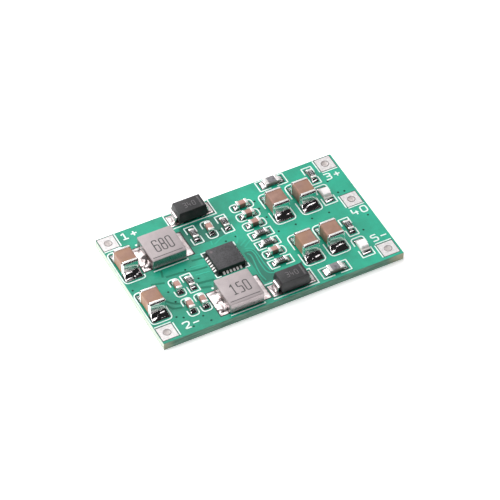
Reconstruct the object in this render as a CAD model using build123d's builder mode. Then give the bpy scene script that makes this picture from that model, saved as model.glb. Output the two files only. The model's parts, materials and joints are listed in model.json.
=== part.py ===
from build123d import *
import os

# A bare two-output dc-dc converter board, in millimetres.
# The origin is the centre of the board's underside, x runs from the input end to the output end.

# Board and terminals
board_length = 36.0
board_width = 21.0
board_thickness = 1.2
land_length = 2.4
land_thickness = 0.05
hole_radius = 0.5
input_edge_gap = 0.1  # bare board left outside the lands, one gap for each edge
output_edge_gap = 0.3
back_edge_gap = 0.1
front_edge_gap = 0.45
output_return_y = 1.55
solder_film = 0.05  # solder left under every terminal
solder_hollow = 0.3  # how far along both its legs a joint's slope turns

# Moulded power inductors
inductor_length = 5.05
inductor_depth = 5.05
inductor_height = 1.8
inductor_corner = 0.12
inductor_bevel_drop = 0.12
inductor_bevel_slope = 73  # degrees from upright, so that the bevel is shallow
inductor_strip_width = 3.2
inductor_strip_thickness = 0.15
inductor_strip_bend = 0.28
inductor_strip_root = 0.5
inductor_strip_exit = 1.05
inductor_foot = 1.2
inductor_strip_gap = 0.12
inductor_land_reach = 1.25
inductor_land_width = 4.5

# Rectifier diodes
diode_length = 4.3
diode_depth = 2.6
diode_top = 2.15
diode_parting = 1.1
diode_draft = 8
diode_span = 5.1
diode_lift = 0.3
diode_lead_width = 1.45
diode_lead_thickness = 0.2
diode_lead_bend = 0.32
diode_lead_root = 0.5
diode_foot = 1.2
diode_land_reach = 0.65
diode_land_width = 2.1

# Controller, a leadless square package
controller_size = 4.0
controller_height = 0.85
controller_lead_pitch = 0.5
controller_leads_per_side = 6
controller_lead_width = 0.26
controller_lead_length = 0.4
controller_lead_thickness = 0.2
controller_land_reach = 0.4
thermal_pad_size = 2.5
thermal_pad_corner = 0.35

# Large ceramic capacitors
large_capacitor_length = 3.2
large_capacitor_width = 2.5
large_capacitor_height = 2.25
large_capacitor_easing = 0.2
large_capacitor_band = 0.5
large_capacitor_plating = 0.06
large_capacitor_land_reach = 1.05

# Small ceramic capacitors
small_capacitor_height = 0.85
small_capacitor_easing = 0  # too fine to matter on the small ones
small_capacitor_band = 0.35
small_capacitor_plating = 0.03

# Small and medium chip resistors
small_chip_length = 1.6
small_chip_width = 0.82
small_chip_land_reach = 0.45
small_resistor_height = 0.45
small_resistor_band = 0.3
medium_resistor_length = 2.0
medium_resistor_width = 1.25
medium_resistor_height = 0.55
medium_resistor_band = 0.4
medium_resistor_land_reach = 0.65
resistor_plating = 0.04
resistor_coat_thickness = 0.04
resistor_coat_inset = 0.06

# Indicator lights
light_length = 2.0
light_width = 1.25
light_base_height = 0.35
light_lens_length = 1.35
light_lens_height = 0.45
light_lens_draft = 8
light_land_reach = 0.45

# Printed outlines
ink_width = 0.2
ink_thickness = 0.03
outline_end_gap = 0.3
outline_side_gap = 0.2
diode_outline_end_gap = 0.1
diode_outline_side_gap = 0.02
outline_opening = 0.9
outline_corner = 0.55
small_outline_corner = 0.45
light_outline_corner = 0.35  # at the light's far end only
land_ink_gap = 0.18  # bare board between an inductor's lands and any ink
inductor_outline_length = 5.3
inductor_outline_gap = 0.15
inductor_outline_tick = 0.25
pin_mark_room = 0.5  # end of the back line left free for the mark of the first pin
controller_outline_gap = 0.35
controller_outline_arm = 0.75
terminal_outline_gap = 0.12

# Where the parts stand, on a layout grid of one millimetre from the board's centre
grid_x = board_length / 36
grid_y = board_width / 21
back_row_gap = 0  # bare board outside the outlines of the front and back rows
front_row_gap = 0.28

half_length = board_length / 2
half_width = board_width / 2
half_land = land_length / 2
half_inductor = inductor_length / 2
half_controller = controller_size / 2
diode_outline_reach = diode_depth / 2 + diode_outline_side_gap + ink_width
inductor_line_reach = inductor_depth / 2 + inductor_outline_gap + ink_width / 2
input_capacitor_x = large_capacitor_width / 2 + outline_side_gap + ink_width - half_length
inductor_places = [
    (-10.95 * grid_x, 4.42 * grid_y),
    (-5.33 * grid_x, front_row_gap + inductor_line_reach + ink_width / 2 - half_width),
]
diode_places = [
    (-4.55 * grid_x, half_width - back_row_gap - diode_outline_reach),
    (1.9 * grid_x, front_row_gap + diode_outline_reach - half_width),
]
controller_place = (-4.0 * grid_x, -0.75 * grid_y)
input_capacitor_places = [(input_capacitor_x, 4.32 * grid_y), (input_capacitor_x, -3.87 * grid_y)]
positive_capacitor_places = [(6.72 * grid_x, 4.78 * grid_y), (10.8 * grid_x, 4.72 * grid_y)]
negative_capacitor_places = [(6.7 * grid_x, -3.87 * grid_y), (10.55 * grid_x, -3.78 * grid_y)]
medium_resistor_places = [(8.2 * grid_x, 9.35 * grid_y), (8.3 * grid_x, -9.0 * grid_y)]
light_places = [(13.72 * grid_x, 3.87 * grid_y), (13.6 * grid_x, -7.05 * grid_y)]
output_resistor_places = [(13.7 * grid_x, 7.95 * grid_y), (13.65 * grid_x, -2.95 * grid_y)]
trio_places = [((2.33 * step - 3.4) * grid_x, 5.25 * grid_y) for step in (-1, 0, 1)]
input_block_places = [((0.95 * across - 11.05) * grid_x, (1.925 * along - 4.3) * grid_y)
                      for along in (1, -1) for across in (-1, 1)]
column_places = [(2.5 * grid_x, (1.36 + 1.94 * step) * grid_y) for step in (3, 2, 1, 0, -1, -2, -3)]

land_heights = (0, board_thickness - land_thickness)
input_land_x = input_edge_gap + half_land - half_length
output_land_x = half_length - output_edge_gap - half_land
back_land_y = half_width - back_edge_gap - half_land
front_land_y = front_edge_gap + half_land - half_width
terminal_places = {
    "input_terminal": (input_land_x, back_land_y),
    "input_return_terminal": (input_land_x, front_land_y),
    "positive_output_terminal": (output_land_x, back_land_y),
    "output_return_terminal": (output_land_x, output_return_y * grid_y),
    "negative_output_terminal": (output_land_x, front_land_y),
}


def keep(shape, name):
    shape.label = name
    export_step(shape, f"parts/{name}.step")


def seat(place, turned=False):
    """Plane on the board's top under a part, its x along the part's length."""
    along = (0, 1, 0) if turned else (1, 0, 0)
    return Plane(origin=(place[0], place[1], board_thickness), x_dir=along, z_dir=(0, 0, 1))


def side_view(base):
    """Upright plane through the part's middle, x along its length and y up."""
    return Plane(origin=base.origin, x_dir=base.x_dir, z_dir=-base.y_dir)


def end_view(base, along=0.0):
    """Upright plane across the part's length, x along its width and y up."""
    return Plane(origin=base.origin + base.x_dir * along, x_dir=base.y_dir, z_dir=base.x_dir)


# Board, with a shallow pocket for each land and a hole through each terminal

with BuildPart() as board:
    with BuildSketch():
        Rectangle(board_length, board_width)
        with Locations(*terminal_places.values()):
            Circle(hole_radius, mode=Mode.SUBTRACT)
    extrude(amount=board_thickness)
    for height in land_heights:
        with BuildSketch(Plane.XY.offset(height)):
            with Locations(*terminal_places.values()):
                Rectangle(land_length, land_length)
        extrude(amount=land_thickness, mode=Mode.SUBTRACT)
keep(board.part, "board")


# Terminals: a square land let into each face, round the hole

for name, place in terminal_places.items():
    with BuildPart() as terminal:
        for height in land_heights:
            with BuildSketch(Plane((*place, height))):
                Rectangle(land_length, land_length)
                Circle(hole_radius, mode=Mode.SUBTRACT)
        extrude(amount=land_thickness)
    keep(terminal.part, name)


# Solder: a film under the terminal and a hollow slope from the land's edge up the terminal's face

def solder_joints(bases, face, reach, width, climb, heel, land_width=0):
    """Both joints of every part standing on bases, as one group of solids, on lands that may be wider."""
    with BuildPart() as joints:
        for base in bases:
            for end in (-1, 1):
                with BuildSketch(side_view(base)):
                    with BuildLine():
                        Polyline((end * (face + reach), 0), (end * (face - heel), 0),
                                 (end * (face - heel), solder_film),
                                 (end * face, solder_film), (end * face, solder_film + climb),
                                 (end * (face + solder_hollow * reach), solder_film + solder_hollow * climb),
                                 close=True)
                    make_face()
        extrude(amount=width / 2, both=True)
        if land_width > width:
            for base in bases:
                with BuildSketch(base):
                    with GridLocations(2 * face + reach - heel, 0, 2, 1):
                        Rectangle(reach + heel, land_width)
            extrude(amount=solder_film)
    return joints.part


# A bent strip: out of the body, down its end and back under it, cut straight inside each bend

def bent_strips(base, reach, exit_height, foot, root_from, thickness, bend, width):
    with BuildPart() as strips:
        for end in (-1, 1):
            with BuildSketch(side_view(base)):
                with BuildLine():
                    FilletPolyline((end * root_from, exit_height), (end * reach, exit_height),
                                   (end * reach, solder_film), (end * (reach - foot), solder_film),
                                   radius=bend)
                    Polyline((end * (reach - foot), solder_film + thickness),
                             (end * (reach - bend), solder_film + thickness),
                             (end * (reach - thickness), solder_film + bend),
                             (end * (reach - thickness), exit_height - bend),
                             (end * (reach - bend), exit_height - thickness),
                             (end * root_from, exit_height - thickness))
                    Line((end * root_from, exit_height), (end * root_from, exit_height - thickness))
                    Line((end * (reach - foot), solder_film),
                         (end * (reach - foot), solder_film + thickness))
                make_face()
        extrude(amount=width / 2, both=True)
    return strips.part


# Inductors: a pressed block with bevelled edges, carried on two strips let into its ends

inductor_exit = solder_film + inductor_strip_exit
inductor_base = solder_film + inductor_strip_thickness
inductor_recess = inductor_strip_thickness + inductor_strip_gap
for number, place in enumerate(inductor_places, start=1):
    base = seat(place)
    strips = bent_strips(base, half_inductor, inductor_exit, inductor_foot,
                         half_inductor - inductor_recess - inductor_strip_root,
                         inductor_strip_thickness, inductor_strip_bend, inductor_strip_width)
    with BuildPart() as core:
        with BuildSketch(base.offset(inductor_base)):
            Rectangle(inductor_length, inductor_depth)
        extrude(amount=solder_film + inductor_height - inductor_bevel_drop - inductor_base)
        chamfer(core.edges().filter_by(Axis.Z), inductor_corner)
        extrude(core.faces().sort_by(Axis.Z)[-1], amount=inductor_bevel_drop, taper=inductor_bevel_slope)
        with BuildSketch(base.offset(inductor_base)):
            with GridLocations(inductor_length - inductor_recess, 0, 2, 1):
                Rectangle(inductor_recess, inductor_strip_width + 2 * inductor_strip_gap)
        extrude(amount=inductor_exit - inductor_base, mode=Mode.SUBTRACT)
        add(strips, mode=Mode.SUBTRACT)
    keep(core.part, f"inductor_{number}_core")
    keep(strips, f"inductor_{number}_strips")


# Diodes: a moulded body, widest at its parting line, on two strip leads

half_diode_span = diode_span / 2
diode_exit = diode_parting + diode_lead_thickness / 2
for number, place in enumerate(diode_places, start=1):
    base = seat(place)
    leads = bent_strips(base, half_diode_span, diode_exit, diode_foot,
                        diode_length / 2 - diode_lead_root,
                        diode_lead_thickness, diode_lead_bend, diode_lead_width)
    with BuildPart() as body:
        with BuildSketch(base.offset(diode_parting)) as parting:
            Rectangle(diode_length, diode_depth)
        extrude(parting.sketch, amount=diode_top - diode_parting, taper=diode_draft)
        extrude(parting.sketch, amount=diode_lift - diode_parting, taper=diode_draft)
        add(leads, mode=Mode.SUBTRACT)
    keep(body.part, f"diode_{number}_body")
    keep(leads, f"diode_{number}_leads")


# Controller: a thin square body over a lead frame of edge pads and a heat pad

controller_seat = seat(controller_place)
with BuildPart() as lead_frame:
    with BuildSketch(controller_seat.offset(solder_film)) as pads:
        Rectangle(thermal_pad_size, thermal_pad_size)
        chamfer(pads.vertices().group_by(Axis.X)[0].sort_by(Axis.Y)[-1], thermal_pad_corner)
        with PolarLocations(half_controller - controller_lead_length / 2, 4):
            with GridLocations(0, controller_lead_pitch, 1, controller_leads_per_side):
                Rectangle(controller_lead_length, controller_lead_width)
    extrude(amount=controller_lead_thickness)
with BuildPart() as controller_body:
    with BuildSketch(controller_seat.offset(solder_film)):
        Rectangle(controller_size, controller_size)
    extrude(amount=controller_height)
    add(lead_frame.part, mode=Mode.SUBTRACT)
keep(controller_body.part, "controller_body")
keep(lead_frame.part, "controller_lead_frame")

toe = half_controller + controller_land_reach
heel = half_controller - controller_lead_length
side_turns = PolarLocations(0, 4).local_locations
lead_steps = GridLocations(0, controller_lead_pitch, 1, controller_leads_per_side).local_locations
with BuildPart() as controller_solder:
    for turn in side_turns:
        for step in lead_steps:
            with BuildSketch(side_view(Plane(controller_seat.location * turn * step))):
                with BuildLine():
                    Polyline((heel, 0), (toe, 0),
                             (half_controller, solder_film + controller_lead_thickness),
                             (half_controller, solder_film), (heel, solder_film), close=True)
                make_face()
    extrude(amount=controller_lead_width / 2, both=True)
    with BuildSketch(controller_seat):
        Rectangle(thermal_pad_size - thermal_pad_corner, thermal_pad_size - thermal_pad_corner)
    extrude(amount=solder_film)
keep(controller_solder.part, "controller_solder")


# Ceramic capacitors: a block whose ends are dipped in metal, the large ones with eased edges

def eased_block(base, middle, length, width, height, easing):
    """A block along the part's length, its centre at a height of middle above the board."""
    with BuildPart() as block:
        with BuildSketch(end_view(base)):
            with Locations((0, middle)):
                Rectangle(width, height)
        extrude(amount=length / 2, both=True)
        if easing > 0:
            chamfer(block.edges(), easing)
    return block.part


def dipped_capacitor(base, length, width, height, easing, plating, band):
    """The ceramic of one capacitor, and the metal on its two ends."""
    middle = solder_film + height / 2
    ceramic = eased_block(base, middle, length - 2 * plating, width - 2 * plating, height - 2 * plating,
                          easing - plating)
    with BuildPart() as ends:
        add(eased_block(base, middle, length, width, height, easing))
        add(eased_block(base, middle, length - 2 * band, width, height, 0), mode=Mode.SUBTRACT)
        add(ceramic, mode=Mode.SUBTRACT)
    return ceramic, ends.part


large_capacitors = {}
for side, places in (("input", input_capacitor_places), ("positive", positive_capacitor_places),
                     ("negative", negative_capacitor_places)):
    for number, place in enumerate(places, start=1):
        large_capacitors[f"{side}_capacitor_{number}"] = seat(place, turned=True)

for name, base in large_capacitors.items():
    ceramic, ends = dipped_capacitor(base, large_capacitor_length, large_capacitor_width,
                                     large_capacitor_height, large_capacitor_easing,
                                     large_capacitor_plating, large_capacitor_band)
    keep(ceramic, f"{name}_ceramic")
    keep(ends, f"{name}_ends")

trio = [seat(place, turned=True) for place in trio_places]
input_block = [seat(place, turned=True) for place in input_block_places]
column = [seat(place) for place in column_places]
output_pair = [seat(place, turned=True) for place in output_resistor_places]
small_capacitor_seats = [trio[1], input_block[0], input_block[2], input_block[3], *column[:3], column[5]]
small_resistor_seats = [trio[0], trio[2], input_block[1], column[3], column[4], column[6], *output_pair]

small_ends = []
for number, base in enumerate(small_capacitor_seats, start=1):
    ceramic, ends = dipped_capacitor(base, small_chip_length, small_chip_width, small_capacitor_height,
                                     small_capacitor_easing, small_capacitor_plating,
                                     small_capacitor_band)
    keep(ceramic, f"small_capacitor_{number}_ceramic")
    small_ends.append(ends)
with BuildPart() as small_capacitor_ends:
    add(small_ends)
keep(small_capacitor_ends.part, "small_capacitor_ends")


# Chip resistors: a plain ceramic chip, a glass coat on top and metal folded round each end

def resistor_chips(bases, length, width, height):
    chips = []
    for base in bases:
        with BuildPart() as chip:
            with BuildSketch(base.offset(solder_film + resistor_plating)):
                Rectangle(length, width)
            extrude(amount=height)
        chips.append(chip.part)
    return chips


def folded_ends(bases, length, width, height, band):
    with BuildPart() as ends:
        for base in bases:
            with BuildSketch(side_view(base)):
                with Locations((0, solder_film + resistor_plating + height / 2)):
                    Rectangle(length + 2 * resistor_plating, height + 2 * resistor_plating)
                    Rectangle(length, height, mode=Mode.SUBTRACT)
                    Rectangle(length - 2 * band, height + 2 * resistor_plating, mode=Mode.SUBTRACT)
        extrude(amount=width / 2, both=True)
    return ends.part


def glass_coats(bases, length, width, height, band):
    with BuildPart() as coats:
        for base in bases:
            with BuildSketch(base.offset(solder_film + resistor_plating + height)):
                Rectangle(length - 2 * band, width - 2 * resistor_coat_inset)
        extrude(amount=resistor_coat_thickness)
    return coats.part


medium_resistor_seats = [seat(place) for place in medium_resistor_places]
small_resistor = (small_resistor_seats, small_chip_length, small_chip_width, small_resistor_height)
medium_resistor = (medium_resistor_seats, medium_resistor_length, medium_resistor_width,
                   medium_resistor_height)
for number, chip in enumerate(resistor_chips(*small_resistor), start=1):
    keep(chip, f"small_resistor_{number}_chip")
for number, chip in enumerate(resistor_chips(*medium_resistor), start=1):
    keep(chip, f"medium_resistor_{number}_chip")
folds = [folded_ends(*small_resistor, small_resistor_band),
         folded_ends(*medium_resistor, medium_resistor_band)]
coats = [glass_coats(*small_resistor, small_resistor_band),
         glass_coats(*medium_resistor, medium_resistor_band)]
with BuildPart() as resistor_ends:
    add(folds)
with BuildPart() as resistor_coats:
    add(coats)
keep(resistor_ends.part, "resistor_ends")
keep(resistor_coats.part, "resistor_coats")


# Indicator lights: a flat base carrying a clear moulded lens

light_seats = [seat(place, turned=True) for place in light_places]
for number, base in enumerate(light_seats, start=1):
    with BuildPart() as light_base:
        with BuildSketch(base.offset(solder_film)):
            Rectangle(light_length, light_width)
        extrude(amount=light_base_height)
    with BuildPart() as lens:
        with BuildSketch(base.offset(solder_film + light_base_height)):
            Rectangle(light_lens_length, light_width)
        extrude(amount=light_lens_height, taper=light_lens_draft)
    keep(light_base.part, f"indicator_light_{number}_base")
    keep(lens.part, f"indicator_light_{number}_lens")


# Solder joints, grouped by the kind of part that they hold

small_resistor_face = small_chip_length / 2 + resistor_plating
medium_resistor_face = medium_resistor_length / 2 + resistor_plating
inductor_seats = [seat(place) for place in inductor_places]
diode_seats = [seat(place) for place in diode_places]
power_joints = [
    solder_joints(inductor_seats, half_inductor, inductor_land_reach, inductor_strip_width,
                  inductor_strip_exit / 2, inductor_foot, inductor_land_width),
    solder_joints(diode_seats, half_diode_span, diode_land_reach, diode_lead_width,
                  diode_parting / 2, diode_foot, diode_land_width),
]
small_joints = [
    solder_joints(small_capacitor_seats, small_chip_length / 2, small_chip_land_reach,
                  small_chip_width, small_capacitor_height / 2, small_capacitor_band),
    solder_joints(small_resistor_seats, small_resistor_face, small_chip_land_reach,
                  small_chip_width, small_resistor_height / 2, small_resistor_band),
    solder_joints(medium_resistor_seats, medium_resistor_face, medium_resistor_land_reach,
                  medium_resistor_width, medium_resistor_height / 2, medium_resistor_band),
    solder_joints(light_seats, light_length / 2, light_land_reach,
                  light_width, light_base_height / 2, small_resistor_band),
]
large_joints = solder_joints(large_capacitors.values(), large_capacitor_length / 2,
                             large_capacitor_land_reach, large_capacitor_width,
                             large_capacitor_height / 3, large_capacitor_band)
with BuildPart() as power_solder:
    add(power_joints)
with BuildPart() as small_solder:
    add(small_joints)
keep(power_solder.part, "power_solder")
keep(small_solder.part, "small_solder")
keep(large_joints, "capacitor_solder")


# Printed outlines: white ink on the board round each part, open at the middle of its long sides

def outline_sketch(base, length, width, corner, opening, far_end_only):
    with BuildSketch(base) as outline:
        Rectangle(length, width)
        if far_end_only:
            chamfer(outline.vertices().group_by(Axis.X)[-1], corner)
        elif corner:
            chamfer(outline.vertices(), corner)
        offset(amount=-ink_width, kind=Kind.INTERSECTION, mode=Mode.SUBTRACT)
        if opening:
            Rectangle(opening, width, mode=Mode.SUBTRACT)
    return outline.sketch


def part_outlines(bases, land_end, width, corner=0, opening=outline_opening, far_end_only=False,
                  end_gap=outline_end_gap, side_gap=outline_side_gap):
    length = 2 * (land_end + end_gap + ink_width)
    across = width + 2 * (side_gap + ink_width)
    return [outline_sketch(base, length, across, corner, opening, far_end_only) for base in bases]


outlines = [
    *part_outlines(large_capacitors.values(), large_capacitor_length / 2 + large_capacitor_land_reach,
                   large_capacitor_width, outline_corner),
    *part_outlines(small_capacitor_seats, small_chip_length / 2 + small_chip_land_reach,
                   small_chip_width, small_outline_corner),
    *part_outlines(small_resistor_seats, small_resistor_face + small_chip_land_reach, small_chip_width),
    *part_outlines(medium_resistor_seats, medium_resistor_face + medium_resistor_land_reach,
                   medium_resistor_width),
    *part_outlines(light_seats, light_length / 2 + light_land_reach, light_width, light_outline_corner,
                   far_end_only=True),
    *part_outlines(diode_seats, half_diode_span + diode_land_reach, diode_depth, opening=0,
                   end_gap=diode_outline_end_gap, side_gap=diode_outline_side_gap),
]

with BuildPart() as legend:
    add(outlines)
    for base in inductor_seats:
        with BuildSketch(base):
            with GridLocations(0, 2 * inductor_line_reach, 1, 2):
                Rectangle(inductor_outline_length, ink_width)
            with GridLocations(inductor_outline_length - ink_width,
                               2 * inductor_line_reach - inductor_outline_tick, 2, 2):
                Rectangle(ink_width, inductor_outline_tick)
            with Locations((-inductor_outline_length / 2, inductor_line_reach)):
                Rectangle(2 * pin_mark_room, 2 * pin_mark_room, mode=Mode.SUBTRACT)
    with BuildSketch(controller_seat):
        span = controller_size + 2 * (controller_outline_gap + ink_width)
        Rectangle(span, span)
        Rectangle(span - 2 * ink_width, span - 2 * ink_width, mode=Mode.SUBTRACT)
        Rectangle(span - 2 * controller_outline_arm, span, mode=Mode.SUBTRACT)
        Rectangle(span, span - 2 * controller_outline_arm, mode=Mode.SUBTRACT)
    for x, y in terminal_places.values():
        with BuildSketch(Plane.XY.offset(board_thickness)):
            inner = half_land + terminal_outline_gap + ink_width / 2
            inward_x = -1 if x > 0 else 1
            inward_y = -1 if y > 0 else 1
            with Locations((x + inward_x * inner, y)):
                Rectangle(ink_width, land_length)
            with Locations((x, y + inward_y * inner)):
                Rectangle(land_length, ink_width)
    extrude(amount=ink_thickness)
    for base in inductor_seats:
        with BuildSketch(base):
            Rectangle(2 * (half_inductor + inductor_land_reach + land_ink_gap),
                      inductor_land_width + 2 * land_ink_gap)
    extrude(amount=ink_thickness, mode=Mode.SUBTRACT)
keep(legend.part, "printed_outlines")
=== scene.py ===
import json
import math
import bmesh
import bpy
import numpy as np
from mathutils import Matrix, Vector


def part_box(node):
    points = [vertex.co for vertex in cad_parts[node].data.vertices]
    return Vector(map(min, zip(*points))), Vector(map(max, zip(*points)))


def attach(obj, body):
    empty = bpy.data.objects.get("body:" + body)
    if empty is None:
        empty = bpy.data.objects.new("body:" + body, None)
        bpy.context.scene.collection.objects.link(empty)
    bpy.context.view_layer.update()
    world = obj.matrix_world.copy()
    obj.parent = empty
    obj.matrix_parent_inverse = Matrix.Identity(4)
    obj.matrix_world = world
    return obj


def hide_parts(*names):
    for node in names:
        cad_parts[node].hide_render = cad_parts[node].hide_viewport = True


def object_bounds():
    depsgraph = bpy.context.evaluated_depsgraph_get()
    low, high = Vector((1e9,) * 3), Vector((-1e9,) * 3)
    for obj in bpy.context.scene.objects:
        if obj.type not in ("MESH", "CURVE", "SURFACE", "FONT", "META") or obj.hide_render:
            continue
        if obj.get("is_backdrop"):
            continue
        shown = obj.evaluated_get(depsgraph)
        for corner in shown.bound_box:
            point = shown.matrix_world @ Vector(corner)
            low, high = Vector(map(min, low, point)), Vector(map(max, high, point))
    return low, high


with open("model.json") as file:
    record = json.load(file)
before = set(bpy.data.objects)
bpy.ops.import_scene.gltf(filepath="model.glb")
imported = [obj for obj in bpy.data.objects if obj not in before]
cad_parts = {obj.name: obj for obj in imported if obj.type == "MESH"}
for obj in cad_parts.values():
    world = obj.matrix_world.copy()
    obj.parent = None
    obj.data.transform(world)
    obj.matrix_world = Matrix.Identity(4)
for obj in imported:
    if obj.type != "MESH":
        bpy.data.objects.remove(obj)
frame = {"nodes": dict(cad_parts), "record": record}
cadLow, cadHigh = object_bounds()
mm = 0.001
boardHigh = np.array(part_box("board")[1]) / mm
boardTop = boardHigh[2]
alongX, alongY = np.array([1.0, 0.0]), np.array([0.0, 1.0])
print("frame loaded:", len(frame["nodes"]), "nodes")


class Wire:
    # one output socket; sums, products and comparisons of wires add Math nodes
    def __init__(self, paint, socket):
        self.paint = paint
        self.socket = socket

    def math(self, operation, first, second):
        return self.paint.node("ShaderNodeMath", {"operation": operation}, (first, second))

    def __add__(self, other):
        return self.math("ADD", self, other)

    def __radd__(self, other):
        return self.math("ADD", other, self)

    def __sub__(self, other):
        return self.math("SUBTRACT", self, other)

    def __rsub__(self, other):
        return self.math("SUBTRACT", other, self)

    def __mul__(self, other):
        return self.math("MULTIPLY", self, other)

    def __rmul__(self, other):
        return self.math("MULTIPLY", other, self)

    def __abs__(self):
        return self.paint.node("ShaderNodeMath", {"operation": "ABSOLUTE"}, (self,))

    def __gt__(self, other):
        return self.math("GREATER_THAN", self, other)

    def __lt__(self, other):
        return self.math("LESS_THAN", self, other)


class Paint:
    # one material; its texture space is the object's own millimetres
    def __init__(self, name):
        self.material = bpy.data.materials.new(name)
        self.material.use_nodes = True
        self.nodes = self.material.node_tree.nodes
        self.links = self.material.node_tree.links
        self.shader = self.nodes["Principled BSDF"]
        metres = self.node("ShaderNodeTexCoord", output="Object")
        self.place = self.node("ShaderNodeVectorMath", {"operation": "SCALE"},
                               {"Vector": metres, "Scale": 1 / mm})

    def node(self, kind, settings=None, values=(), output=0):
        # settings first, then the values or wires of the sockets, by place or by name
        made = self.nodes.new(kind)
        for key, value in (settings or {}).items():
            setattr(made, key, value)
        pairs = values.items() if isinstance(values, dict) else enumerate(values)
        for key, value in pairs:
            self.plug(made.inputs[key], value)
        return Wire(self, made.outputs[output])

    def plug(self, socket, value):
        if isinstance(value, Wire):
            self.links.new(value.socket, socket)
        else:
            socket.default_value = value

    def axis(self, number):
        # nought, one and two: along, across and up, in millimetres
        return self.node("ShaderNodeSeparateXYZ", {}, (self.place,), number)

    def finish(self, **values):
        # baseColor becomes the socket Base Color, and so on
        for key, value in values.items():
            words = "".join(" " + letter if letter.isupper() else letter for letter in key)
            self.plug(self.shader.inputs[words[0].upper() + words[1:]], value)
        return self.material

    def mix(self, share, low, high):
        return self.node("ShaderNodeMix", {"data_type": "RGBA"}, {0: share, 6: low, 7: high}, 2)

    def stretched(self, sizes):
        # texture space squeezed by these sizes, in millimetres
        return self.node("ShaderNodeVectorMath", {"operation": "DIVIDE"}, (self.place, sizes))

    def grain(self, size, detail=2.0, sizes=None):
        # cloudy noise with blobs of about this size
        space = self.stretched(sizes) if sizes else self.place
        return self.node("ShaderNodeTexNoise", {}, {"Vector": space, "Scale": 1 / size, "Detail": detail})

    def ramp(self, value, low, high):
        # the value's low to high stretch spread over nought to one
        return self.node("ShaderNodeMapRange", {}, (value, low, high, 0.0, 1.0))

    def dents(self, height, depth):
        # bump of this depth in millimetres
        return self.node("ShaderNodeBump", {}, {"Strength": 1.0, "Distance": depth * mm, "Height": height})


def tint(red, green, blue):
    # a screen colour, nought to 255, made linear
    share = np.array([red, green, blue]) / 255
    linear = np.where(share <= 0.04045, share / 12.92, ((share + 0.055) / 1.055) ** 2.4)
    return (*linear.tolist(), 1.0)


def boxOf(node):
    # the middle and the size of a node's box, in millimetres
    low, high = (np.array(corner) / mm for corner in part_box(node))
    return (low + high) / 2, high - low


def seatOf(node):
    # the middle of a chip and the direction of its longer side, both on the board; a square one lies along x
    centre, size = boxOf(node)
    return centre[:2], alongX if size[0] > size[1] - 0.02 else alongY


def topOf(node):
    # the middle of a node's top and the top's height
    centre, size = boxOf(node)
    return centre[:2], centre[2] + size[2] / 2


def paintLaminate():
    # green mask over both faces, lighter towards the outputs as painted light; the cut edges are bluish
    # green, beige near the corners, and paler on the left as painted light from the left
    paint = Paint("laminate")
    along, height = paint.axis(0), paint.axis(2)
    masked = (height > boardTop - 0.04) + (height < 0.04)
    cloud = paint.ramp(paint.grain(2.6, 3.0), 0.35, 0.65)
    speck = paint.ramp(paint.grain(0.16, 3.0), 0.3, 0.7)
    # painted light: along * 0.013 makes the mask lighter towards the outputs
    tone = (cloud * 0.7 + speck * 0.3) * 0.6 + along * 0.013 + 0.1
    mask = paint.mix(tone, tint(0, 140, 112), tint(10, 184, 150))
    weave = paint.ramp(paint.grain(0.5, 3.0, (5.0, 5.0, 0.22)), 0.35, 0.65)
    edge = paint.mix(weave, tint(66, 116, 98), tint(120, 163, 141))
    edge = paint.mix(paint.ramp(abs(along + 0.5), 15.8, 17.8) * 0.75, edge, tint(196, 186, 156))
    # painted light: the left cut edge is painted pale, as if lit from the left
    edge = paint.mix(along < 0.02 - boardHigh[0], edge, tint(196, 206, 192))
    colour = paint.mix(masked, edge, mask)
    dents = paint.dents(paint.grain(0.22, 2.0), 0.006)
    return paint.finish(baseColor=colour, roughness=0.62 - masked * 0.24 + speck * 0.05, normal=dents)


def paintInk():
    paint = Paint("white ink")
    wear = paint.ramp(paint.grain(0.12, 3.0), 0.3, 0.6)
    return paint.finish(baseColor=paint.mix(wear, tint(214, 240, 232), tint(246, 255, 252)), roughness=0.55)


def paintMetal(name, dark, light, rough, patch, depth, metallic=1.0):
    # plated or soldered metal: cloudy tone, cloudy gloss and soft dents
    paint = Paint(name)
    cloud = paint.ramp(paint.grain(patch, 3.0), 0.32, 0.68)
    fine = paint.grain(patch * 0.25, 2.0)
    if depth:
        paint.finish(normal=paint.dents(cloud + fine * 0.3, depth))
    return paint.finish(baseColor=paint.mix(cloud, dark, light), metallic=metallic,
                        roughness=rough + fine * 0.12)


def paintFluxed():
    # solder under a thin pinkish flux film; in two places near the left it has dark patches of burnt flux
    paint = Paint("fluxed solder")
    along, across = paint.axis(0), paint.axis(1)
    dirty = (along < -12) * (across < 4.6) + (along > -9.5) * (along < -7.5) * (across < -7)
    cloud = paint.ramp(paint.grain(0.8, 1.0), 0.32, 0.68)
    burnt = paint.ramp(paint.grain(0.7, 2.0), 0.5, 0.58) * dirty
    colour = paint.mix(burnt, paint.mix(cloud, tint(206, 190, 190), tint(238, 229, 229)), tint(60, 42, 44))
    return paint.finish(baseColor=colour, metallic=0.8 - burnt * 0.8, roughness=0.22 + cloud * 0.16,
                        normal=paint.dents(cloud + burnt * 0.5, 0.02))


def paintPowder():
    # pressed metal powder: a matt warm grey top, and sides that the die has burnished to a soft mirror
    paint = Paint("pressed powder")
    grit = paint.ramp(paint.grain(0.07, 3.0), 0.3, 0.7)
    cloud = paint.ramp(paint.grain(1.6, 2.0), 0.3, 0.7)
    side = paint.axis(2) < topOf("inductor_1_core")[1] - 0.18  # below the bevel
    colour = paint.mix(grit * 0.5 + cloud * 0.5, tint(164, 152, 154), tint(188, 177, 178))
    return paint.finish(baseColor=colour, metallic=side * 0.85,
                        roughness=0.42 + grit * 0.12 - side * 0.2, normal=paint.dents(grit, 0.003))


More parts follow.
